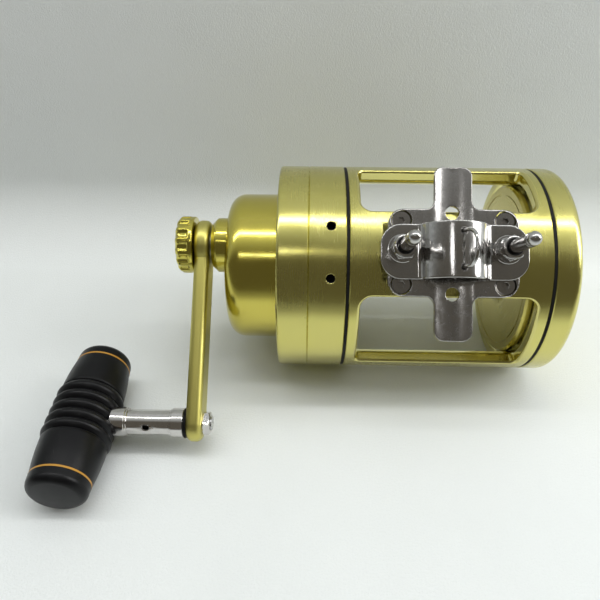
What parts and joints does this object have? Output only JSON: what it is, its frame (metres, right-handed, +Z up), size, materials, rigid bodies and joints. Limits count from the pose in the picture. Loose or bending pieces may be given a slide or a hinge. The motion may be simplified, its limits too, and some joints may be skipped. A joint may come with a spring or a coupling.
{
  "type": "big-game conventional fishing reel",
  "caption": "Round gold-anodised multiplying reel for trolling, with one-piece frame, cranked handle with T-grip, scalloped drag knob, steel foot and rod clamp",
  "frame": {"origin": "centre of the footprint on the surface that the reel lies on: its round rims and its grip touch z = 0", "axes": "+X runs along the spool axis from the handle to the plain side, +Z is up as the reel lies, and the foot faces -Y and up at 45 degrees"},
  "size_m": [0.2735, 0.1888, 0.1285],
  "materials": {
    "champagne_anodised": "turned satin anodising",
    "gold_anodised": "polished anodising",
    "stainless": "polished, lightly scratched",
    "chrome": "mirror",
    "bearing_steel": "ground",
    "seal_rubber": "matte",
    "grip_plastic": "satin",
    "gold_band": "satin",
    "nylon": "matte",
    "bronze": "sintered",
    "carbon_fibre": "woven"
  },
  "bodies": {
    "reel_body": {"frame": "champagne_anodised", "seal_left": "seal_rubber", "seal_right": "seal_rubber", "side_plate": "champagne_anodised", "gearbox_ring": "champagne_anodised", "gear_cup": "gold_anodised", "cup_screws": "bearing_steel", "gear_side_screws": "bearing_steel", "drive_collar": "gold_anodised", "end_plate": "champagne_anodised", "end_plate_screws": "bearing_steel", "bearing_cap": "gold_anodised", "foot": "stainless", "foot_screws": "stainless", "clamp_studs": "stainless", "spool_bearing_left": "bearing_steel", "spool_bearing_right": "bearing_steel", "pinion_bearing": "bearing_steel", "bridge_plate": "bearing_steel", "bridge_screws": "bearing_steel", "drive_bearing_inner": "bearing_steel", "drive_bearing_outer": "bearing_steel", "one_way_clutch": "bearing_steel", "click_spring": "bearing_steel"},
    "rod_clamp": {"clamp_strap": "stainless", "clamp_nuts": "stainless", "nut_inserts": "nylon", "safety_loop": "stainless"},
    "spool_set": {"spool": "champagne_anodised", "spool_shaft": "bearing_steel", "pinion": "bearing_steel", "click_gear": "bearing_steel"},
    "handle": {"drive_shaft": "bearing_steel", "main_gear": "bearing_steel", "drag_discs": "carbon_fibre", "drag_plates": "bearing_steel", "spring_washers": "bearing_steel", "drag_sleeve": "bearing_steel", "handle_arm": "gold_anodised", "knob_spindle": "bearing_steel", "spindle_nut": "chrome", "knob_washer": "nylon"},
    "drag_control": {"drag_knob": "gold_anodised"},
    "grip": {"knob_grip": "grip_plastic", "knob_sleeve": "chrome", "knob_bushes": "bronze", "knob_bands": "gold_band", "knob_caps": "grip_plastic"},
    "clicker": {"click_tongue": "bearing_steel", "click_button": "gold_anodised"}
  },
  "joints": [
    {"name": "handle_turn", "type": "hinge", "parent": "reel_body", "child": "handle", "pos_m": [-0.06125, 0.0287, 0.0779], "axis": [1, 0, 0], "continuous": true},
    {"name": "spool_spin", "type": "hinge", "parent": "reel_body", "child": "spool_set", "pos_m": [0.01895, 0.03694, 0.0575], "axis": [1, 0, 0], "continuous": true},
    {"name": "drag_turn", "type": "hinge", "parent": "handle", "child": "drag_control", "pos_m": [-0.06625, 0.0287, 0.0779], "axis": [1, 0, 0], "range_deg": [-60, 270]},
    {"name": "grip_spin", "type": "hinge", "parent": "handle", "child": "grip", "pos_m": [-0.11895, -0.04744, 0.0178], "axis": [1, 0, 0], "continuous": true},
    {"name": "click_slide", "type": "slide", "parent": "reel_body", "child": "clicker", "axis": [0, -0.4226, 0.9063], "range_m": [0, 0.005]},
    {"name": "clamp_lift", "type": "slide", "parent": "reel_body", "child": "rod_clamp", "axis": [0, -0.7071, 0.7071], "range_m": [0, 0.006]}
  ],
  "couplings": [
    {"joint": "spool_spin", "follows": "handle_turn", "ratio": -2.6667}
  ]
}
